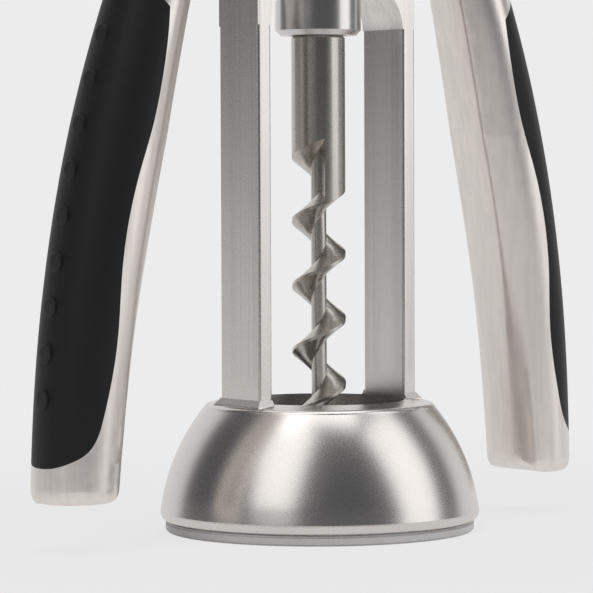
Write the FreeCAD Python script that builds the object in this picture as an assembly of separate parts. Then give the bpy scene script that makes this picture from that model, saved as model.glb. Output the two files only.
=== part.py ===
"""Wing corkscrew: bell frame, two geared levers, toothed sleeve, worm and a turning key with an opener.

Millimetres, +Z up. The origin is on the table under the middle of the bell. The levers swing in the
XZ plane, the left one on -X, and hang down at rest, with the toothed sleeve at the top of its travel.
"""
import FreeCAD, Part
import math
import os

V = FreeCAD.Vector
X_AXIS = V(1, 0, 0)
Y_AXIS = V(0, 1, 0)
Z_AXIS = V(0, 0, 1)
ORIGIN = V(0, 0, 0)

# Fits
run_clear = 0.06        # shaft or sleeve turning or sliding in its bush
side_clear = 0.1        # beside a part that swings between two walls
seat_clear = 0.05       # round a piece that is dropped in its seat

# Bell
bell_radius = 25.0      # widest, just above the rolled lower edge
bell_wall = 2.0
bell_rim_radius = 17.8
bell_rim_z = 19.9
bell_top_rise = 0.5     # from the rim up to the mouth
bell_mouth_radius = 13.3
bell_bulge = 1.2        # how far the side bows out from a straight cone
bell_rim_round = 1.1    # round between the flat top and the side
bell_side_z = 3.2       # where the side meets its rolled lower edge
bell_roll_inset = 0.6   # how far the roll turns back in under the widest line
foot_height = 1.5       # guide flange under the bell
foot_inset = 0.8        # flange edge inside the bell's widest line
foot_groove_height = 0.3
foot_groove_depth = 0.8
collar_top_z = 4.2      # top of the ring of the guide that stands inside the bell

# Bottle guide inside the bell
neck_bore_radius = 15.3
neck_bore_depth = 8.2
guide_wall = 1.6
stop_radius = 12.2      # hole in the ring that the bottle's lip meets
stop_thick = 1.4
guide_rib_count = 8
guide_rib_thick = 1.4

# Posts and arch
post_gap = 26.0
post_thick = 2.5
post_width = 10.0
post_edge_round = 0.4
arch_z = 85.5
arch_radius = 7.0
foot_fillet = 0.7

# Head
head_depth = 12.0
head_shoulder_z = 99.0
head_top_z = 134.0
barrel_radius = 8.7
lobe_radius = 8.4
cheek_gap = 7.0

# Gears: a rack of turned rings, and a pinion on each lever
gear_module = 1.5
pinion_teeth_round = 16     # teeth that a whole pinion would have
pressure_angle = math.radians(20)
tooth_addendum = 1.2
tooth_dedendum = 1.5
mesh_backlash = 0.14
lever_swing_deg = 122.0
hub_thick = 6.0

# Sleeve
sleeve_radius = 6.7
sleeve_bottom_z = 77.3
sleeve_chamfer = 0.8
sleeve_bore_radius = 3.05
sleeve_bush_radius = 4.7
lower_bush_length = 9.0
upper_bush_length = 4.2
head_bush_wall = 1.2
head_bush_depth = 4.0
head_bush_flange = 1.0
washer_thick = 0.8
key_gap = 0.6           # left between key and head bush when the sleeve is down

# Worm and spindle
worm_radius = 4.2
worm_core_radius = 1.2
worm_pitch = 10.2
worm_root_thick = 4.4   # flight's thickness along Z at the core
worm_rim_thick = 0.5
worm_tip_z = 11.0
worm_taper = 9.0        # length of the pointed end
worm_start_z = 56.4     # middle of the groove where it starts in the shank
worm_start_angle = 246.0
shaft_radius = 2.8
shank_chamfer = 0.35

# Pivots
pivot_z = 120.0
pin_radius = 2.0
pin_head_radius = 3.3
pin_head_height = 0.9
lever_bush_wall = 1.0
pivot_washer_radius = 4.6

# Levers, by height above the table: inner face, and sections from the tip to the neck
lever_tip_z = 7.0
lever_ref_z = 81.0
lever_ref_x = 26.97     # inner face at the reference height
lever_lean = 0.2336
lever_bow = 0.001006
lever_play = 0.55       # degrees that both levers hang to -X inside the play of their teeth
tip_inner_round = 4.2
tip_outer_round = 0.4
# height, thickness, half width of the inner face, round of its corners, half width at the widest
lever_sections = [
    (2.0, 12.2, 5.0, 4.0, 7.0),
    (16.0, 13.1, 5.1, 3.9, 7.3),
    (32.0, 13.8, 5.0, 2.8, 7.65),
    (48.0, 13.85, 4.87, 1.75, 8.0),
    (64.0, 13.35, 4.7, 1.55, 7.8),
    (80.0, 11.95, 4.4, 1.35, 7.2),
    (92.0, 10.6, 3.95, 1.2, 6.0),
    (103.0, 9.2, 3.2, 1.0, 4.3),
]
widest_share = 0.4      # depth of the widest line as a share of the thickness
neck_z = 110.0
neck_thick = 8.4
neck_corner = 0.8

# Grips
grip_low_z = 15.6
grip_high_z = 80.5
grip_end_slant = 1.1    # how far the upper end runs on for each mm outward
grip_core_half = 3.6
grip_wall = 3.3
grip_core_inset = 2.5
grip_middle_z = 48.0
bump_count = 9
bump_low_z = 22.4
bump_high_z = 76.4
bump_radius = 1.5
bump_height = 0.3
bump_edge = 0.22
# height, and depth from the inner face, of the wavy edge between metal and grip
grip_edge = [
    (80.5, 5.9), (76.5, 5.45), (70.0, 5.2), (63.5, 5.5), (56.0, 6.6), (48.0, 7.2), (40.0, 6.85),
    (32.0, 6.0), (26.0, 6.05), (20.0, 6.8), (16.5, 7.7), (14.6, 9.0), (13.3, 10.9), (12.2, 13.0),
    (11.6, 17.0),
]

# Turning key
key_half_width = 20.0
key_half_height = 11.0
key_thick = 7.0
key_hole_half_width = 12.5
key_hole_half_height = 7.0
key_round = 0.8
key_hub_radius = 7.2
key_hub_length = 10.5
key_hub_overlap = 5.5   # how far the hub runs up past the bow's lower edge
key_neck_low = 4.0      # where the hub starts to blend into the bow, below its top
key_neck_full = 2.0
key_neck_high = 2.0     # where the blend ends, above the hub's top
key_neck_bulge = 0.6
key_shaft_end = 1.5     # hub metal left over the end of the shaft
key_pin_share = 0.55    # height of the cross pin as a share of the hub
key_lip_width = 9.0
key_lip_height = 1.6
key_pin_radius = 1.25
key_grip_wall = 1.1
key_grip_inner_x = 14.2

# Worked out from the sizes above
pitch_radius = gear_module*pinion_teeth_round/2
tooth_pitch = math.pi*gear_module
rack_pitch_radius = sleeve_radius - tooth_addendum
rack_root_radius = rack_pitch_radius - tooth_dedendum
pivot_x = rack_pitch_radius + pitch_radius
tip_circle = pitch_radius + tooth_addendum
root_circle = pitch_radius - tooth_dedendum
base_circle = pitch_radius*math.cos(pressure_angle)
sleeve_travel = pitch_radius*math.radians(lever_swing_deg)
sleeve_top_z = head_top_z + head_bush_flange + sleeve_travel + key_gap - washer_thick
key_bottom_z = sleeve_top_z + washer_thick
key_centre_z = key_bottom_z + key_hub_length + key_half_height - key_hub_overlap
key_pin_z = key_bottom_z + key_hub_length*key_pin_share
shaft_top_z = key_bottom_z + key_hub_length - key_shaft_end
shoulder_z = sleeve_bottom_z - side_clear/2
post_in = post_gap/2
post_out = post_in + post_thick
bell_mouth_z = bell_rim_z + bell_top_rise
hub_bore_radius = pin_radius + run_clear + lever_bush_wall


def arc_bulging(start, end, bulge):
    """arc from start to end, bowed by bulge to the left of the way from start to end, in the XZ plane"""
    chord = end - start
    side = V(-chord.z, 0, chord.x).normalize()
    return Part.Arc(start, (start + end)*0.5 + side*bulge, end).toShape()


def outline(start, steps):
    """closed face in the XZ plane; a step is an end point (x, z), or (x, z, bulge) for an arc to it"""
    edges = []
    here = V(start[0], 0, start[1])
    first = here
    for step in list(steps) + [start]:
        there = V(step[0], 0, step[1])
        if (there - here).Length < 1e-6:
            continue
        if len(step) == 3:
            edges.append(arc_bulging(here, there, step[2]))
        else:
            edges.append(Part.makeLine(here, there))
        here = there
    if (here - first).Length > 1e-6:
        edges.append(Part.makeLine(here, first))
    return Part.Face(Part.Wire(edges))


def turned(face):
    """solid of revolution about Z from a face in the XZ plane"""
    return face.revolve(ORIGIN, Z_AXIS, 360)


def plate(face, depth, y=0.0):
    """prism of the given depth along Y, centred on y, from a face in the XZ plane"""
    solid = face.extrude(V(0, depth, 0))
    solid.translate(V(0, y - depth/2, 0))
    return solid


def box(x0, x1, y0, y1, z0, z1):
    return Part.makeBox(x1 - x0, y1 - y0, z1 - z0, V(x0, y0, z0))


def rod(radius, z0, z1, x=0.0, y=0.0):
    return Part.makeCylinder(radius, z1 - z0, V(x, y, z0), Z_AXIS)


def ring(outer, inner, z0, z1):
    return rod(outer, z0, z1).cut(rod(inner, z0 - 1, z1 + 1))


def cross_rod(radius, y0, y1, x, z):
    return Part.makeCylinder(radius, y1 - y0, V(x, y0, z), Y_AXIS)


def mirrored(shape):
    return shape.mirror(ORIGIN, X_AXIS)


def save(node, shape):
    """write the node's step file, refined, as its separate solids"""
    shape = shape.removeSplitter()
    solids = shape.Solids
    assert solids and all(s.isValid() for s in solids), node
    result = solids[0] if len(solids) == 1 else Part.makeCompound(solids)
    result.exportStep("parts/" + node + ".step")


# Frame
def bell_shell():
    """spun bell: flat top with a mouth, bowed side and rolled lower edge, open inside"""
    wall = bell_wall
    low_in = bell_radius - 0.3 - wall
    rim = bell_rim_round
    face = outline((bell_mouth_radius, bell_mouth_z), [
        (bell_rim_radius - 0.8*rim, bell_rim_z + 0.04),
        (bell_rim_radius + 0.3*rim, bell_rim_z - 0.55*rim, 0.21*rim),
        (bell_radius, bell_side_z, bell_bulge),
        (bell_radius - bell_roll_inset, foot_height + foot_groove_height, 0.2),
        (low_in, foot_height + foot_groove_height),
        (low_in, collar_top_z),
        (bell_rim_radius - wall, bell_rim_z - wall, -bell_bulge),
        (bell_mouth_radius, bell_mouth_z - wall),
    ])
    return turned(face)


def post():
    """right-hand post from the bell's top to the arch"""
    bar = box(post_in, post_out, -post_width/2, post_width/2, bell_rim_z - bell_wall/2, arch_z + 2)
    upright = [e for e in bar.Edges if abs(e.tangentAt(e.FirstParameter).z) > 0.99]
    return bar.makeFillet(post_edge_round, upright)


def post_foot():
    """small flare round the post's foot, sunk in the bell's top"""
    low = bell_rim_z - 0.6
    high = bell_mouth_z + foot_fillet
    wide = foot_fillet
    wires = []
    for z, grow in ((low, wide + 0.5), (bell_mouth_z - 0.25, wide), (high, 0.0)):
        x0, x1 = post_in + 0.05, post_out + grow
        y = post_width/2 + grow
        corners = [V(x0, -y, z), V(x1, -y, z), V(x1, y, z), V(x0, y, z), V(x0, -y, z)]
        wires.append(Part.makePolygon(corners))
    return Part.makeLoft(wires, True, True)


def arch():
    """bar across the posts with rounded inner corners"""
    half = post_width/2
    face = outline((post_out, arch_z - arch_radius), [
        (post_out, arch_z + 3),
        (-post_out, arch_z + 3),
        (-post_out, arch_z - arch_radius),
        (-post_in, arch_z - arch_radius),
        (-post_in + arch_radius, arch_z, arch_radius*(1 - math.sqrt(0.5))),
        (post_in - arch_radius, arch_z),
        (post_in, arch_z - arch_radius, arch_radius*(1 - math.sqrt(0.5))),
    ])
    return plate(face, 2*half - 0.02)


def lobe_tangent(x, z, radius):
    """point where a line from (x, z) touches the lobe's circle on its outer side"""
    dx = pivot_x - x
    dz = pivot_z - z
    length = math.hypot(dx, dz)
    turn = math.asin(radius/length)
    along = math.atan2(dz, dx) - turn
    reach = math.sqrt(length**2 - radius**2)
    return (x + reach*math.cos(along), z + reach*math.sin(along))


def head():
    """block over the arch: guide barrel and two pairs of cheeks with a chamber for each pinion"""
    side = lobe_tangent(post_out, head_shoulder_z, lobe_radius)
    shoulder = (pivot_x - 2, pivot_z + lobe_radius*0.97)
    crown = (barrel_radius - 0.6, head_top_z - 1.5)
    face = outline((post_out, arch_z), [
        (post_out, head_shoulder_z),
        side,
        (pivot_x, pivot_z + 2),
        shoulder,
        crown,
        (-crown[0], crown[1]),
        (-shoulder[0], shoulder[1]),
        (-pivot_x, pivot_z + 2),
        (-side[0], side[1]),
        (-post_out, head_shoulder_z),
        (-post_out, arch_z),
    ])
    block = plate(face, head_depth)
    step = (head_depth - post_width)/2
    for s in (-1, 1):
        wedge = Part.makePolygon([V(0, s*post_width/2, arch_z - 1), V(0, s*(post_width/2 + 2*step), arch_z - 1),
                                  V(0, s*(post_width/2 + 2*step), head_shoulder_z - 1),
                                  V(0, s*(post_width/2 + step), head_shoulder_z - 1),
                                  V(0, s*post_width/2, head_shoulder_z - 5),
                                  V(0, s*post_width/2, arch_z - 1)])
        trim = Part.Face(wedge).extrude(V(2*post_out + 2, 0, 0))
        trim.translate(V(-post_out - 1, 0, 0))
        block = block.cut(trim)
    for s in (-1, 1):
        block = block.fuse(cross_rod(lobe_radius, -head_depth/2, head_depth/2, s*pivot_x, pivot_z))
    block = block.fuse(rod(barrel_radius, arch_z, head_top_z))
    return block.removeSplitter()


def frame_casting():
    """bell, posts and head in one casting, bored and slotted for what it carries"""
    body = head().fuse(arch())
    for side in (1, -1):
        for piece in (post(), post_foot()):
            body = body.fuse(piece if side > 0 else mirrored(piece))
    body = body.fuse(bell_shell())
    chamber = tip_circle + 0.5
    body = body.cut(rod(sleeve_radius + run_clear, arch_z - 1, head_top_z + 1))
    body = body.cut(rod(sleeve_radius + run_clear + head_bush_wall, head_top_z - head_bush_depth, head_top_z + 1))
    body = body.cut(rod(bell_mouth_radius, bell_rim_z - bell_wall - 1, bell_mouth_z + 0.01))
    for s in (-1, 1):
        body = body.cut(cross_rod(chamber, -cheek_gap/2, cheek_gap/2, s*pivot_x, pivot_z))
        body = body.cut(cross_rod(pin_radius, -head_depth, head_depth, s*pivot_x, pivot_z))
    return body


def bottle_guide():
    """moulded foot flange with a collar that centres the bottle's neck and a stop ring over it"""
    inner = neck_bore_radius
    outer = inner + guide_wall
    top = neck_bore_depth + stop_thick
    foot_radius = bell_radius - foot_inset
    groove_radius = foot_radius - foot_groove_depth
    groove_top = foot_height + foot_groove_height
    snap_out = bell_radius - 0.3 - bell_wall - seat_clear
    face = outline((inner + 0.6, 0), [
        (foot_radius - 0.3, 0),
        (foot_radius, 0.3, 0.09),
        (foot_radius, foot_height - 0.3),
        (foot_radius - 0.3, foot_height, 0.09),
        (groove_radius, foot_height),
        (groove_radius, groove_top),
        (snap_out, groove_top),
        (snap_out, collar_top_z),
        (snap_out - guide_wall, collar_top_z),
        (snap_out - guide_wall, foot_height),
        (outer, foot_height),
        (outer, top),
        (stop_radius, top),
        (stop_radius, neck_bore_depth),
        (inner, neck_bore_depth),
        (inner, 0.6),
    ])
    body = turned(face)
    for k in range(guide_rib_count):
        rib = box(outer - 0.3, snap_out - guide_wall + 0.3, -guide_rib_thick/2, guide_rib_thick/2,
                  foot_height - 0.3, collar_top_z)
        rib.rotate(ORIGIN, Z_AXIS, 360.0*k/guide_rib_count)
        body = body.fuse(rib)
    return body


def head_bush():
    bore = sleeve_radius + run_clear
    body = rod(bore + head_bush_wall, head_top_z - head_bush_depth, head_top_z)
    body = body.fuse(rod(barrel_radius, head_top_z, head_top_z + head_bush_flange))
    return body.cut(rod(bore, head_top_z - head_bush_depth - 1, head_top_z + head_bush_flange + 1))


def pivot_pin():
    """right-hand pin with a domed rivet head on each cheek"""
    half = head_depth/2
    body = cross_rod(pin_radius, -half - 0.1, half + 0.1, pivot_x, pivot_z)
    dome = (pin_head_radius**2 + pin_head_height**2)/(2*pin_head_height)
    for s in (-1, 1):
        ball = Part.makeSphere(dome, V(pivot_x, s*(half + pin_head_height - dome), pivot_z))
        slab = box(pivot_x - 9, pivot_x + 9, half if s > 0 else -half - 5, half + 5 if s > 0 else -half,
                   pivot_z - 9, pivot_z + 9)
        body = body.fuse(ball.common(slab))
    return body


def pivot_washers():
    """two washers that fill the play between the right-hand hub and its cheeks"""
    both = []
    for s in (-1, 1):
        near = hub_thick/2 + side_clear/2
        far = cheek_gap/2
        y0, y1 = (near, far) if s > 0 else (-far, -near)
        disc = cross_rod(pivot_washer_radius, y0, y1, pivot_x, pivot_z)
        both.append(disc.cut(cross_rod(pin_radius, -9, 9, pivot_x, pivot_z)))
    return Part.makeCompound(both)


# Sleeve and spindle
def rack_sleeve():
    """plain collar below, ring teeth above, and a bore with a seat for a bush at each end"""
    slope = math.tan(pressure_angle)
    half_pitch = tooth_pitch/4 + mesh_backlash/2
    half_tip = half_pitch + tooth_addendum*slope
    half_root = half_pitch - tooth_dedendum*slope
    grooves = 2 + math.ceil(sleeve_travel/tooth_pitch) + 1
    lower_seat = sleeve_bottom_z + lower_bush_length
    upper_seat = sleeve_top_z - upper_bush_length
    steps = [(sleeve_radius - sleeve_chamfer, sleeve_bottom_z), (sleeve_radius, sleeve_bottom_z + sleeve_chamfer)]
    for k in range(grooves):
        z = pivot_z + (k - 1)*tooth_pitch
        steps.append((sleeve_radius, z - half_tip))
        steps.append((rack_root_radius, z - half_root))
        steps.append((rack_root_radius, z + half_root))
        steps.append((sleeve_radius, z + half_tip))
    steps += [(sleeve_radius, sleeve_top_z - 0.5), (sleeve_radius - 0.5, sleeve_top_z),
              (sleeve_bush_radius, sleeve_top_z), (sleeve_bush_radius, upper_seat),
              (sleeve_bore_radius, upper_seat), (sleeve_bore_radius, lower_seat),
              (sleeve_bush_radius, lower_seat)]
    return turned(outline((sleeve_bush_radius, sleeve_bottom_z), steps))


def lower_sleeve_bush():
    return ring(sleeve_bush_radius, shaft_radius + run_clear, sleeve_bottom_z, sleeve_bottom_z + lower_bush_length)


def upper_sleeve_bush():
    return ring(sleeve_bush_radius, shaft_radius + run_clear, sleeve_top_z - upper_bush_length, sleeve_top_z)


def thrust_washer():
    return ring(sleeve_radius - 0.4, shaft_radius + run_clear, sleeve_top_z + side_clear/2, key_bottom_z)


def worm_groove():
    """helical space between the worm's flights, from below the tip up to its square start in the shank"""
    reach = worm_radius + 0.3
    half_core = (worm_pitch - worm_root_thick)/2
    half_rim = (worm_pitch - worm_rim_thick)/2
    slope = (half_rim - half_core)/(worm_radius - worm_core_radius)
    half_reach = half_rim + 0.3*slope
    turns = math.ceil((worm_start_z - worm_tip_z)/worm_pitch + 0.6)
    height = turns*worm_pitch
    spine = []
    for k in range(2*turns):
        half_turn = Part.makeHelix(worm_pitch, worm_pitch/2, (worm_core_radius + reach)/2)
        half_turn.rotate(ORIGIN, Z_AXIS, 180*k)
        half_turn.translate(V(0, 0, k*worm_pitch/2))
        spine += half_turn.Edges
    corners = [V(worm_core_radius, 0, -half_core), V(reach, 0, -half_reach),
               V(reach, 0, half_reach), V(worm_core_radius, 0, half_core)]
    profile = Part.makePolygon(corners + corners[:1])
    groove = Part.Wire(spine).makePipeShell([profile], True, True)
    groove.rotate(ORIGIN, Z_AXIS, worm_start_angle)
    groove.translate(V(0, 0, worm_start_z - height))
    return groove


def worm_spindle():
    """rod with a pointed end, its helical groove cut in, and the thinner shaft up to the key"""
    top = shaft_top_z
    point = outline((0, worm_tip_z), [
        (0.35, worm_tip_z + 0.4),
        (worm_core_radius + 0.5, worm_tip_z + 3.2),
        (worm_radius, worm_tip_z + worm_taper),
        (worm_radius, shoulder_z - shank_chamfer),
        (worm_radius - shank_chamfer, shoulder_z),
        (shaft_radius, shoulder_z),
        (shaft_radius, top - 0.4),
        (shaft_radius - 0.4, top),
        (0, top),
    ])
    body = turned(point).cut(worm_groove())
    return body.cut(cross_rod(key_pin_radius, -9, 9, 0, key_pin_z))


# Key
def stadium(half_width, half_height, z):
    """face with round ends, centred on x = 0"""
    flat = half_width - half_height
    return outline((-flat, z - half_height), [
        (-flat, z + half_height, half_height),
        (flat, z + half_height),
        (flat, z - half_height, half_height),
    ])


def turning_key():
    """flat bow with round ends, an opener window with its lip, and a hub for the shaft"""
    z = key_centre_z
    bow = plate(stadium(key_half_width, key_half_height, z), key_thick)
    rims = [e for e in bow.Edges if abs(abs(e.CenterOfMass.y) - key_thick/2) < 0.01]
    bow = bow.makeFillet(key_round, rims)
    hub = rod(key_hub_radius, key_bottom_z, key_bottom_z + key_hub_length)
    hub_top = key_bottom_z + key_hub_length
    neck = turned(outline((0, hub_top - key_neck_low), [
        (key_hub_radius, hub_top - key_neck_low),
        (key_hub_radius, hub_top - key_neck_full),
        (key_thick/2, hub_top + key_neck_high, key_neck_bulge),
        (0, hub_top + key_neck_high),
    ]))
    body = bow.fuse(hub).fuse(neck)
    body = body.cut(plate(stadium(key_hole_half_width, key_hole_half_height, z), key_thick + 20))
    lip = box(-key_lip_width/2, key_lip_width/2, -key_thick/2 + 1.2, key_thick/2 - 1.2,
              z + key_hole_half_height - key_lip_height, z + key_hole_half_height + 1)
    body = body.fuse(lip)
    body = body.cut(rod(shaft_radius, key_bottom_z - 1, shaft_top_z))
    return body.cut(cross_rod(key_pin_radius, -9, 9, 0, key_pin_z))


def key_pin():
    return cross_rod(key_pin_radius, -key_hub_radius, key_hub_radius, 0, key_pin_z)


def key_grip(key):
    """black sleeve moulded round the key's right-hand end"""
    z = key_centre_z
    grown = key_grip_wall
    skin = plate(stadium(key_half_width + grown, key_half_height + grown, z), key_thick + 2*grown)
    rims = [e for e in skin.Edges if abs(abs(e.CenterOfMass.y) - key_thick/2 - grown) < 0.01]
    skin = skin.makeFillet(key_round + grown, rims)
    skin = skin.cut(plate(stadium(key_hole_half_width, key_hole_half_height, z), key_thick + 20))
    skin = skin.cut(box(-60, key_grip_inner_x, -20, 20, z - 30, z + 30))
    return skin.cut(key)


# Levers
def lever_inner(z):
    """x of the right-hand lever's inner face at a height"""
    down = lever_ref_z - z
    return lever_ref_x + lever_lean*down - lever_bow*down*down


def lever_section(z, thick, half_inner, corner, half_wide):
    """level section: flat inner face, round corners, sides that flare out, and a domed outer side"""
    x0 = lever_inner(z)
    wide = widest_share*thick
    rise = thick - wide
    flare = half_wide - half_inner
    flat = half_inner - 0.75*corner
    spots = [(0, flat), (0.22*wide, half_inner + 0.14*flare), (0.6*wide, half_wide - 0.27*flare),
             (wide, half_wide), (wide + 0.525*rise, 0.875*half_wide),
             (wide + 0.875*rise, 0.525*half_wide), (thick, 0)]
    steps = [0, 0.104, 0.244, 0.363, 0.584, 0.785, 1]
    halves = []
    for side in (1, -1):
        points = [V(x0 + x, side*y, z) for x, y in spots]
        pace = V(0, side*(thick + half_wide), 0)
        curve = Part.BSplineCurve()
        curve.interpolate(Points=points, Parameters=steps, InitialTangent=pace, FinalTangent=-pace,
                          Scale=False)
        halves.append(curve)
    lower = halves[1].toShape().reversed()
    inner = Part.makeLine(V(x0, -flat, z), V(x0, flat, z))
    return Part.Wire([inner, halves[0].toShape(), lower])


def lever_outer(z):
    """x of the lever's outermost line at a height, between its sections"""
    low = max(s for s in lever_sections if s[0] <= z)
    high = min(s for s in lever_sections if s[0] > z)
    share = (z - low[0])/(high[0] - low[0])
    return lever_inner(z) + low[1] + share*(high[1] - low[1])


def lever_form():
    """whole outside of the right-hand lever's arm, metal and grip together"""
    wires = [lever_section(*s) for s in lever_sections]
    wires.append(lever_section(neck_z, neck_thick, hub_thick*0.42, neck_corner, hub_thick/2 - 0.1))
    form = Part.makeLoft(wires, True, False)
    inner_low = lever_inner(lever_tip_z + tip_inner_round)
    outer_low = lever_outer(lever_tip_z + tip_outer_round)
    turn = 1 - math.sqrt(0.5)
    ends = outline((inner_low - 12, lever_tip_z + tip_inner_round + 2.5), [
        (inner_low - 0.02, lever_tip_z + tip_inner_round),
        (inner_low + tip_inner_round, lever_tip_z, -tip_inner_round*turn),
        (outer_low - tip_outer_round, lever_tip_z),
        (outer_low + 0.05, lever_tip_z + tip_outer_round, -tip_outer_round*turn),
        (outer_low + 12, lever_tip_z + 3),
        (outer_low + 12, neck_z + 5),
        (inner_low - 45, neck_z + 5),
    ])
    return form.common(plate(ends, 40))


def grip_region():
    """prism that holds everything outside the wavy edge between metal and grip"""
    far = grip_edge[-1][1]
    points = [V(lever_inner(z) + depth, 0, z) for z, depth in grip_edge]
    wave = Part.BSplineCurve()
    wave.interpolate(Points=points)
    top = points[0] + V(far, 0, grip_end_slant*far)
    edges = [wave.toShape(), Part.makeLine(points[-1], top), Part.makeLine(top, points[0])]
    return plate(Part.Face(Part.Wire(edges)), 40)


def grip_core():
    """rib of the metal lever that the grip is moulded round"""
    low = grip_low_z + 4.5
    high = grip_high_z - 3.5
    middle = grip_middle_z
    face = outline((lever_inner(low) + grip_core_inset, low), [
        (lever_inner(middle) + grip_core_inset, middle),
        (lever_inner(high) + grip_core_inset, high),
        (lever_outer(high) - grip_wall, high),
        (lever_outer(middle) - grip_wall, middle),
        (lever_outer(low) - grip_wall, low),
    ])
    return plate(face, 2*grip_core_half)


def bump(skin_x, z):
    """low round button that stands on the grip's outer line"""
    stem = Part.makeCylinder(bump_radius, 1 + bump_height, V(skin_x - 1, 0, z), X_AXIS)
    rim = [e for e in stem.Edges if e.CenterOfMass.x > skin_x + bump_height/2 and e.Length > bump_radius*4]
    return stem.makeFillet(bump_edge, rim)


def tooth_half_angle(radius):
    """half of an involute tooth's angle at a radius from the pivot"""
    def involute(angle):
        return math.tan(angle) - angle

    at_pitch = (tooth_pitch/4 - mesh_backlash/2)/pitch_radius
    here = math.acos(min(1.0, base_circle/radius))
    return at_pitch + involute(pressure_angle) - involute(here)


def pinion_tooth(direction):
    """prism of one tooth that points along direction, in degrees from +X towards +Z"""
    middle = math.radians(direction)

    def spot(radius, side, flare=0.0):
        a = middle + side*(tooth_half_angle(radius) + flare)
        return V(pivot_x + radius*math.cos(a), 0, pivot_z + radius*math.sin(a))

    def deep(side):
        a = middle + side*tooth_half_angle(base_circle)
        r = root_circle - 0.6
        return V(pivot_x + r*math.cos(a), 0, pivot_z + r*math.sin(a))

    tip_mid = V(pivot_x + tip_circle*math.cos(middle), 0, pivot_z + tip_circle*math.sin(middle))
    edges = [Part.makeLine(deep(-1), spot(base_circle, -1)),
             Part.Arc(spot(base_circle, -1), spot(pitch_radius, -1), spot(tip_circle, -1)).toShape(),
             Part.Arc(spot(tip_circle, -1), tip_mid, spot(tip_circle, 1)).toShape(),
             Part.Arc(spot(tip_circle, 1), spot(pitch_radius, 1), spot(base_circle, 1)).toShape(),
             Part.makeLine(spot(base_circle, 1), deep(1)),
             Part.makeLine(deep(1), deep(-1))]
    return plate(Part.Face(Part.Wire(edges)), hub_thick)


def lever_hub():
    """hub with its pinion teeth and the flat neck that joins it to the arm"""
    body = cross_rod(root_circle, -hub_thick/2, hub_thick/2, pivot_x, pivot_z)
    step = 360.0/pinion_teeth_round
    last = math.ceil(lever_swing_deg/step)
    for k in range(-1, last + 1):
        body = body.fuse(pinion_tooth(180 - k*step))
    low_z = neck_z - 1.5
    inner = lever_inner(low_z) + 0.1
    outer = lever_inner(low_z) + neck_thick
    face = outline((inner, low_z), [
        (pivot_x, pivot_z - root_circle + 0.3, 0.6),
        (pivot_x, pivot_z),
        (pivot_x + root_circle*0.8, pivot_z + root_circle*0.38),
        (outer, low_z, 1.8),
    ])
    return body.fuse(plate(face, hub_thick))


def lever_and_grip():
    """right-hand lever casting and the grip moulded on it"""
    form = lever_form()
    region = grip_region()
    core = grip_core()
    casting = form.cut(region).fuse(core)
    casting = casting.fuse(lever_hub())
    casting = casting.cut(cross_rod(hub_bore_radius, -20, 20, pivot_x, pivot_z))
    grip = form.common(region)
    for k in range(bump_count):
        z = bump_low_z + k*(bump_high_z - bump_low_z)/(bump_count - 1)
        line = Part.makeLine(V(0, 0, z), V(2*lever_outer(z), 0, z))
        skin_x = line.common(form).BoundBox.XMax
        grip = grip.fuse(bump(skin_x, z))
    return casting, grip.cut(core)


def hung(shape, degrees):
    """copy of the right-hand lever's piece, turned about its pivot, inwards for a positive angle"""
    turned_copy = shape.copy()
    turned_copy.rotate(V(pivot_x, 0, pivot_z), Y_AXIS, degrees)
    return turned_copy


def lever_bush():
    body = cross_rod(hub_bore_radius, -hub_thick/2, hub_thick/2, pivot_x, pivot_z)
    return body.cut(cross_rod(pin_radius + run_clear, -9, 9, pivot_x, pivot_z))


def build():
    os.makedirs("parts", exist_ok=True)
    save("frame_casting", frame_casting())
    save("bottle_guide", bottle_guide())
    save("head_bush", head_bush())
    save("rack_sleeve", rack_sleeve())
    save("lower_sleeve_bush", lower_sleeve_bush())
    save("upper_sleeve_bush", upper_sleeve_bush())
    save("thrust_washer", thrust_washer())
    save("worm_spindle", worm_spindle())
    key = turning_key()
    grip = key_grip(key)
    save("turning_key", key)
    save("key_pin", key_pin())
    save("right_key_grip", grip)
    save("left_key_grip", mirrored(grip))
    casting, lever_grip = lever_and_grip()
    pairs = (("pivot_pin", pivot_pin()), ("pivot_washers", pivot_washers()), ("lever_bush", lever_bush()))
    for name, shape in pairs:
        save("right_" + name, shape)
        save("left_" + name, mirrored(shape))
    for name, shape in (("lever", casting), ("grip", lever_grip)):
        save("right_" + name, hung(shape, lever_play))
        save("left_" + name, mirrored(hung(shape, -lever_play)))


build()
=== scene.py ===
import bmesh
import bpy
import math
from mathutils import Matrix, Vector


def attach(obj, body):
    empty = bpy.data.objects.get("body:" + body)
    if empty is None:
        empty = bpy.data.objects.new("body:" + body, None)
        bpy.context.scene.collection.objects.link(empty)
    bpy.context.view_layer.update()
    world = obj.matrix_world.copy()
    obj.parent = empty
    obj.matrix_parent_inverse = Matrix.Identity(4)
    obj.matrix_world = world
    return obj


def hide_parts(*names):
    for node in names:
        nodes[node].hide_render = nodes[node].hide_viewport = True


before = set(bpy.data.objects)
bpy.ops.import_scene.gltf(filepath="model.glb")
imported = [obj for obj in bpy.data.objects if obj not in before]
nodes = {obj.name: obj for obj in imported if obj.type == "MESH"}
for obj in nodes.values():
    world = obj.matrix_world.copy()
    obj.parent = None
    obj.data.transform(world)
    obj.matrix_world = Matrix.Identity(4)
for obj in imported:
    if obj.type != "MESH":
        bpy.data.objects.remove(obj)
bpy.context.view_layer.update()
scene = bpy.context.scene

# Photo's camera, in metres, radians and, for the lens, millimetres; the studio is set up from its side
camera_at = Vector((-0.30655, -0.39218, 0.05615))
camera_yaw = 0.656373
camera_pitch = -0.039367
camera_roll = -0.003955
camera_lens = 192.92
camera_sensor = 36.0
to_camera = math.atan2(camera_at.y, camera_at.x)

backdrop_white = (0.84, 0.84, 0.84, 1.0)


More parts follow.
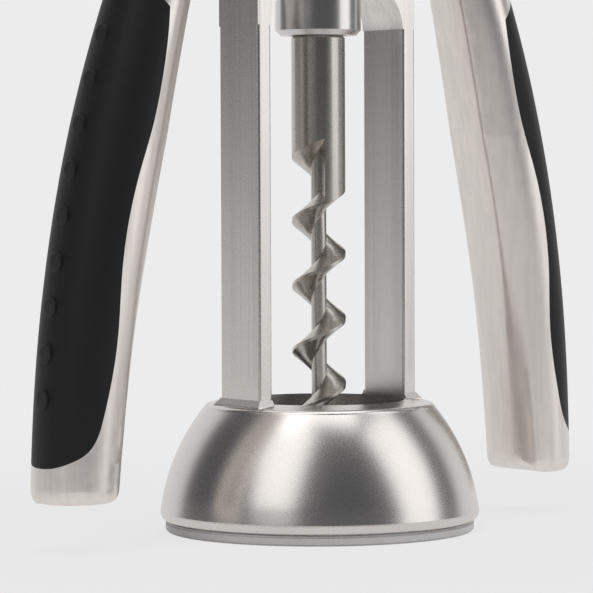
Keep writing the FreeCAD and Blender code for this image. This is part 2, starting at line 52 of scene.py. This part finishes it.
# Node helpers
def new_material(name):
    material = bpy.data.materials.new(name)
    material.use_nodes = True
    tree = material.node_tree
    return material, tree, tree.nodes["Principled BSDF"]


def add(tree, kind, **values):
    node = tree.nodes.new(kind)
    for name, value in values.items():
        setattr(node, name, value)
    return node


def calc(tree, operation, first, second):
    """result of one operation; first and second are floats or node outputs"""
    node = add(tree, "ShaderNodeMath", operation=operation)
    for socket, value in zip(node.inputs, (first, second)):
        if isinstance(value, float):
            socket.default_value = value
        else:
            tree.links.new(value, socket)
    return node.outputs[0]


def ramp(tree, value, start, end):
    """smooth step of a value from 0 at start to 1 at end; start may be the larger"""
    step = add(tree, "ShaderNodeMapRange", interpolation_type="SMOOTHSTEP")
    step.inputs["From Min"].default_value = min(start, end)
    step.inputs["From Max"].default_value = max(start, end)
    step.inputs["To Min"].default_value = 0.0 if start < end else 1.0
    step.inputs["To Max"].default_value = 1.0 if start < end else 0.0
    tree.links.new(value, step.inputs["Value"])
    return step.outputs["Result"]


def band(tree, value, a, b, c, d):
    """1 between b and c, falling to 0 at a and d"""
    return calc(tree, "MULTIPLY", ramp(tree, value, a, b), ramp(tree, value, d, c))


def along(tree, vector, direction):
    """length of a vector along a direction"""
    product = add(tree, "ShaderNodeVectorMath", operation="DOT_PRODUCT")
    product.inputs[1].default_value = direction
    tree.links.new(vector, product.inputs[0])
    return product.outputs["Value"]


def noise(tree, vector, scale, detail):
    texture = add(tree, "ShaderNodeTexNoise")
    texture.inputs["Scale"].default_value = scale
    texture.inputs["Detail"].default_value = detail
    tree.links.new(vector, texture.inputs["Vector"])
    return texture.outputs["Fac"]


def mixed(tree, share, first, second):
    """colour between two; first and second are red, green and blue, or a node's output"""
    mix = add(tree, "ShaderNodeMix", data_type="RGBA")
    tree.links.new(share, mix.inputs[0])
    for socket, colour in zip((mix.inputs[6], mix.inputs[7]), (first, second)):
        if isinstance(colour, tuple):
            socket.default_value = (*colour, 1.0)
        else:
            tree.links.new(colour, socket)
    return mix.outputs[2]


def scaled(colour, share):
    return tuple(min(1.0, part*share) for part in colour)


def set_surface(tree, shader, colour, fine, roughness, spread, bump, bump_depth):
    """colour, a gloss that varies with a fine grain, and the grain's relief"""
    gloss = add(tree, "ShaderNodeMapRange")
    gloss.inputs["To Min"].default_value = roughness - spread
    gloss.inputs["To Max"].default_value = roughness + spread
    relief = add(tree, "ShaderNodeBump")
    relief.inputs["Strength"].default_value = bump
    relief.inputs["Distance"].default_value = bump_depth
    link = tree.links.new
    link(colour, shader.inputs["Base Color"])
    link(fine, gloss.inputs["Value"])
    link(gloss.outputs["Result"], shader.inputs["Roughness"])
    link(fine, relief.inputs["Height"])
    link(relief.outputs["Normal"], shader.inputs["Normal"])


# Materials: noise scales are per metre
metal_grain = 9000.0
metal_relief = 0.00002
mark_scale = 1100.0
mark_stretch = (1.0, 1.0, 0.008)    # brush marks are long in z
mark_start, mark_full = 0.42, 0.62  # noise values between which a mark comes in
mark_rise = 0.004                   # height over which the marks come in
plastic_grain = 3500.0
plastic_relief = 0.00004
plastic_spread = 0.05
plastic_tones = (0.85, 1.15)        # darkest and palest share of a plastic's colour


def satin_metal(name, colour, dark, roughness, spread, bump=0.05, cloud=90.0, streaks=0.0, above=0.0):
    """metal with a fine grain, faint clouds in its tone and brush marks along z; above is the height
    in metres where the marks start, and streaks how much darker than the dark tone they are"""
    material, tree, shader = new_material(name)
    place = add(tree, "ShaderNodeTexCoord").outputs["Object"]
    stretch = add(tree, "ShaderNodeMapping")
    stretch.inputs["Scale"].default_value = mark_stretch
    tree.links.new(place, stretch.inputs["Vector"])
    marks = noise(tree, stretch.outputs["Vector"], mark_scale, 3.0)
    clouds = noise(tree, place, cloud, 4.0)
    grain = noise(tree, place, metal_grain, 2.0)
    height = add(tree, "ShaderNodeSeparateXYZ")
    tree.links.new(place, height.inputs[0])
    marked = calc(tree, "MULTIPLY", ramp(tree, marks, mark_start, mark_full),
                  ramp(tree, height.outputs["Z"], above, above + mark_rise))
    tone = mixed(tree, marked, mixed(tree, clouds, dark, colour), scaled(dark, 1 - streaks))
    set_surface(tree, shader, tone, grain, roughness, spread, bump, metal_relief)
    shader.inputs["Metallic"].default_value = 1.0
    return material


def plastic(name, colour, roughness, bump=0.15, specular=0.5):
    """moulded plastic or rubber with a fine texture"""
    material, tree, shader = new_material(name)
    place = add(tree, "ShaderNodeTexCoord").outputs["Object"]
    grain = noise(tree, place, plastic_grain, 3.0)
    tone = mixed(tree, grain, *[scaled(colour, share) for share in plastic_tones])
    set_surface(tree, shader, tone, grain, roughness, plastic_spread, bump, plastic_relief)
    shader.inputs["Specular IOR Level"].default_value = specular
    return material


zinc = satin_metal("satin_zinc", (0.72, 0.684, 0.655), (0.65, 0.617, 0.592), 0.27, 0.04,
                   streaks=0.05, above=0.022)
# the levers get a paler copy of the frame's zinc: the paler tone is painted light, standing in for the
# light the levers catch
lever_zinc_painted_paler = satin_metal("satin_zinc_lever", (0.86, 0.80, 0.76), (0.80, 0.745, 0.708), 0.37, 0.03,
                         bump=0.03, cloud=40.0, streaks=0.02)
sleeve_metal = satin_metal("satin_sleeve", (0.70, 0.68, 0.665), (0.63, 0.61, 0.6), 0.24, 0.05)
worm_metal = satin_metal("worm_steel", (0.66, 0.62, 0.58), (0.5, 0.47, 0.44), 0.27, 0.06, cloud=300.0)
pin_metal = satin_metal("steel_pin", (0.66, 0.65, 0.64), (0.58, 0.57, 0.56), 0.22, 0.04)
rubber = plastic("black_rubber", (0.018, 0.018, 0.0185), 0.5, bump=0.1, specular=0.2)
# this grey is painted far paler than the parts' own moulded grey: painted light, to make up for the shade
# on the guide ring under the bell
grey = plastic("grey_plastic", (0.76, 0.75, 0.74), 0.4)
nylon = plastic("bush_plastic", (0.75, 0.74, 0.7), 0.45)
black_nylon = plastic("washer_plastic", (0.06, 0.06, 0.06), 0.45)

finishes = [
    (zinc, ["frame_casting", "turning_key"]),
    (lever_zinc_painted_paler, ["left_lever", "right_lever"]),
    (sleeve_metal, ["rack_sleeve"]),
    (worm_metal, ["worm_spindle"]),
    (pin_metal, ["left_pivot_pin", "right_pivot_pin", "key_pin"]),
    (rubber, ["left_grip", "right_grip", "left_key_grip", "right_key_grip"]),
    (grey, ["bottle_guide", "head_bush"]),
    (nylon, ["lower_sleeve_bush", "upper_sleeve_bush", "left_lever_bush", "right_lever_bush"]),
    (black_nylon, ["left_pivot_washers", "right_pivot_washers", "thrust_washer"]),
]
for material, names in finishes:
    for name in names:
        mesh = nodes[name].data
        mesh.materials.clear()
        mesh.materials.append(material)


# Levers: copies with tips that are rounded all round and a little slimmer on the inside than the solids
tip_round = 0.0022
tip_half_width = 0.0072
inner_round_share = 0.9     # how much of the round the inner and the outer side take
outer_round_share = 0.5
slim_below_z = 0.062
slim_by = 0.0012
tip_cuts = (25, 40, 55, 70, 90)     # degrees round the tip's curve where the mesh is cut
sharp_angle = math.radians(32)
edge_bevel = 0.00018
bevel_angle = math.radians(45)
weld_distance = 2e-6

# Line of the levers' inner face and thickness by height, as in the solids
pivot_z = 0.120
lever_ref_z = 0.081
lever_ref_x = 0.02697
lever_lean = 0.2336
lever_bow = 1.006
lever_play = math.radians(0.55)     # both levers hang this far to -X
lever_thick = [(0.002, 0.0122), (0.016, 0.0131), (0.032, 0.0138), (0.048, 0.01385), (0.064, 0.01335)]


def thick_at(z):
    low, high = [(a, b) for a, b in zip(lever_thick, lever_thick[1:]) if a[0] <= z <= b[0]][0]
    return low[1] + (high[1] - low[1])*(z - low[0])/(high[0] - low[0])


def inner_at(z, side):
    """distance of a lever's inner face from the worm's axis; side is -1 for left and 1 for right"""
    down = lever_ref_z - z
    hang = math.tan(lever_play)*(pivot_z - z)
    return lever_ref_x + lever_lean*down - lever_bow*down*down - side*hang


def shape_point(point, side, tip_z):
    """slims the lower arm on its inner side, and draws the very end in all round"""
    if point.z > slim_below_z:
        return
    thick = thick_at(point.z)
    inner = inner_at(point.z, side)
    share = (slim_below_z - point.z)/(slim_below_z - tip_z)
    depth = (abs(point.x) - inner)/thick
    depth += slim_by/thick*share*(2 - share)*(1 - depth)
    left_to_round = tip_z + tip_round - point.z
    if left_to_round > 0:
        inset = tip_round - math.sqrt(max(0.0, tip_round**2 - left_to_round**2))
        side_share = inner_round_share if depth < 0.5 else outer_round_share
        depth += (0.5 - depth)*inset/thick*side_share
        point.y *= 1 - inset/tip_half_width
    point.x = side*(inner + depth*thick)


def shaped_tip(name, body):
    """puts a copy with the shaped tip in the place of a lever's node"""
    piece = bpy.data.objects.new(name + "_shaped", nodes[name].data.copy())
    scene.collection.objects.link(piece)
    side = -1 if name.startswith("left") else 1
    tip_z = min(v.co.z for v in nodes[body].data.vertices)
    shape = bmesh.new()
    shape.from_mesh(piece.data)
    for angle in tip_cuts:
        cut_z = tip_z + tip_round*(1 - math.cos(math.radians(angle)))
        bmesh.ops.bisect_plane(shape, geom=shape.verts[:] + shape.edges[:] + shape.faces[:], dist=1e-7,
                               plane_co=(0, 0, cut_z), plane_no=(0, 0, 1))
    for v in shape.verts:
        shape_point(v.co, side, tip_z)
    bmesh.ops.remove_doubles(shape, verts=shape.verts[:], dist=weld_distance)
    for face in shape.faces:
        face.smooth = True
    shape.to_mesh(piece.data)
    shape.free()
    if "custom_normal" in piece.data.attributes:
        piece.data.attributes.remove(piece.data.attributes["custom_normal"])
    piece.data.set_sharp_from_angle(angle=sharp_angle)
    bevel = piece.modifiers.new("worn_edge", "BEVEL")
    bevel.limit_method = "ANGLE"
    bevel.angle_limit = bevel_angle
    bevel.width = edge_bevel
    bevel.segments = 2
    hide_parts(name)
    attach(piece, body)


for side in ("left", "right"):
    shaped_tip(side + "_lever", side + "_lever")
    shaped_tip(side + "_grip", side + "_lever")


# Floor
floor_half = 6
shadow_near, shadow_far = 0.04, 0.22    # the floor's own shade fades out between these distances
shadow_share = 0.13
# painted reflection: a dark patch on the floor that only glossy rays see, so that the metal mirrors
# painted shade
painted_dark_near, painted_dark_far = 0.26, 0.40          # distances at which the painted dark patch comes onto the floor
painted_dark_arc = (-0.80, -0.50, 0.7, 1.0)      # angles from the camera's side, in radians
painted_dark_by = 0.85


def floor_finish():
    """pale floor with soft shadows near the object, evenly white beyond; reflections see a painted dark
    patch on it, on the camera's side and further out"""
    material, tree, shader = new_material("pale_floor")
    shader.inputs["Base Color"].default_value = backdrop_white
    shader.inputs["Roughness"].default_value = 0.7
    shader.inputs["Specular IOR Level"].default_value = 0.2
    place = add(tree, "ShaderNodeTexCoord").outputs["Object"]
    reach = add(tree, "ShaderNodeVectorMath", operation="LENGTH")
    tree.links.new(place, reach.inputs[0])
    distance = reach.outputs["Value"]
    ahead = along(tree, place, (math.cos(to_camera), math.sin(to_camera), 0.0))
    aside = along(tree, place, (-math.sin(to_camera), math.cos(to_camera), 0.0))
    angle = calc(tree, "ARCTAN2", aside, ahead)
    dim = calc(tree, "MULTIPLY", band(tree, angle, *painted_dark_arc), ramp(tree, distance, painted_dark_near, painted_dark_far))
    path = add(tree, "ShaderNodeLightPath")
    glossy = path.outputs["Is Glossy Ray"]
    white = add(tree, "ShaderNodeEmission")
    white.inputs["Color"].default_value = backdrop_white
    # painted reflection: the dark patch takes the floor's white down for glossy rays only
    painted_dark_seen = calc(tree, "MULTIPLY", calc(tree, "MULTIPLY", dim, painted_dark_by), glossy)
    tree.links.new(calc(tree, "SUBTRACT", 1.0, painted_dark_seen), white.inputs["Strength"])
    clear = calc(tree, "MULTIPLY", ramp(tree, distance, shadow_near, shadow_far), shadow_share)
    share = calc(tree, "ADD", clear, 1.0 - shadow_share)
    seen = calc(tree, "MAXIMUM", path.outputs["Is Camera Ray"], glossy)
    both = add(tree, "ShaderNodeMixShader")
    tree.links.new(calc(tree, "MULTIPLY", seen, share), both.inputs[0])
    tree.links.new(shader.outputs[0], both.inputs[1])
    tree.links.new(white.outputs[0], both.inputs[2])
    tree.links.new(both.outputs[0], tree.nodes["Material Output"].inputs["Surface"])
    return material


floor_mesh = bpy.data.meshes.new("floor")
floor_mesh.from_pydata([(x*floor_half, y*floor_half, 0) for x, y in ((-1, -1), (1, -1), (1, 1), (-1, 1))],
                       [], [(0, 1, 2, 3)])
floor_mesh.materials.append(floor_finish())
floor = bpy.data.objects.new("floor", floor_mesh)
scene.collection.objects.link(floor)


# World
behind_start, behind_full = 0.42, 0.57      # cosines of the angle from straight behind the object
room_light = (0.9, 0.93, 1.0, 1.0)
room_strength = 0.10


def background(tree, colour, strength):
    shader = add(tree, "ShaderNodeBackground")
    shader.inputs["Color"].default_value = colour
    shader.inputs["Strength"].default_value = strength
    return shader.outputs[0]


def studio():
    """dim grey room, white to the camera and white to reflections behind the object"""
    world = bpy.data.worlds.new("studio")
    world.use_nodes = True
    tree = world.node_tree
    tree.nodes.clear()
    ray = add(tree, "ShaderNodeLightPath")
    place = add(tree, "ShaderNodeTexCoord").outputs["Generated"]
    away = along(tree, place, (-math.cos(to_camera), -math.sin(to_camera), 0.0))
    mirrored = calc(tree, "MULTIPLY", ramp(tree, away, behind_start, behind_full),
                    ray.outputs["Is Glossy Ray"])
    chosen = add(tree, "ShaderNodeMixShader")
    out = add(tree, "ShaderNodeOutputWorld")
    tree.links.new(calc(tree, "MAXIMUM", mirrored, ray.outputs["Is Camera Ray"]), chosen.inputs[0])
    tree.links.new(background(tree, room_light, room_strength), chosen.inputs[1])
    tree.links.new(background(tree, backdrop_white, 1.0), chosen.inputs[2])
    tree.links.new(chosen.outputs[0], out.inputs[0])
    return world


scene.world = studio()

# Lights: degrees round to the right of the camera, degrees up, distance, width, height, glow
light_target = Vector((0, 0, 0.05))
softboxes = {
    "light_right": (78, 28, 1.3, 0.85, 1.4, 1.35),
    "light_left": (-35, 38, 1.3, 0.8, 1.3, 1.35),
    "light_top": (180, 89, 1.4, 1.3, 1.3, 1.8),
}


def softbox(name, around, up, distance, width, height, glow):
    """soft light that faces the object and that the camera doesn't see"""
    angle = to_camera + math.radians(around)
    rise = math.radians(up)
    outwards = Vector((math.cos(angle)*math.cos(rise), math.sin(angle)*math.cos(rise), math.sin(rise)))
    lamp = bpy.data.lights.new(name, "AREA")
    lamp.shape = "RECTANGLE"
    lamp.size = width
    lamp.size_y = height
    lamp.energy = glow*math.pi*width*height
    piece = bpy.data.objects.new(name, lamp)
    piece.location = light_target + outwards*distance
    piece.rotation_euler = (-outwards).to_track_quat("-Z", "Y").to_euler()
    piece.visible_camera = False
    scene.collection.objects.link(piece)


for name, values in softboxes.items():
    softbox(name, *values)

# Camera
camera = bpy.data.cameras.new("camera")
camera.sensor_width = camera_sensor
camera.lens = camera_lens
camera.clip_start = 0.05
camera.clip_end = 20.0
eye = bpy.data.objects.new("camera", camera)
scene.collection.objects.link(eye)
ahead = Vector((math.sin(camera_yaw)*math.cos(camera_pitch), math.cos(camera_yaw)*math.cos(camera_pitch),
                math.sin(camera_pitch)))
right = Vector((math.cos(camera_yaw), -math.sin(camera_yaw), 0.0))
above = right.cross(ahead)
tilted_right = right*math.cos(camera_roll) + above*math.sin(camera_roll)
tilted_above = above*math.cos(camera_roll) - right*math.sin(camera_roll)
eye.matrix_world = Matrix.Translation(camera_at) @ Matrix((
    (tilted_right.x, tilted_above.x, -ahead.x),
    (tilted_right.y, tilted_above.y, -ahead.y),
    (tilted_right.z, tilted_above.z, -ahead.z))).to_4x4()
scene.camera = eye
scene.view_settings.view_transform = "Standard"
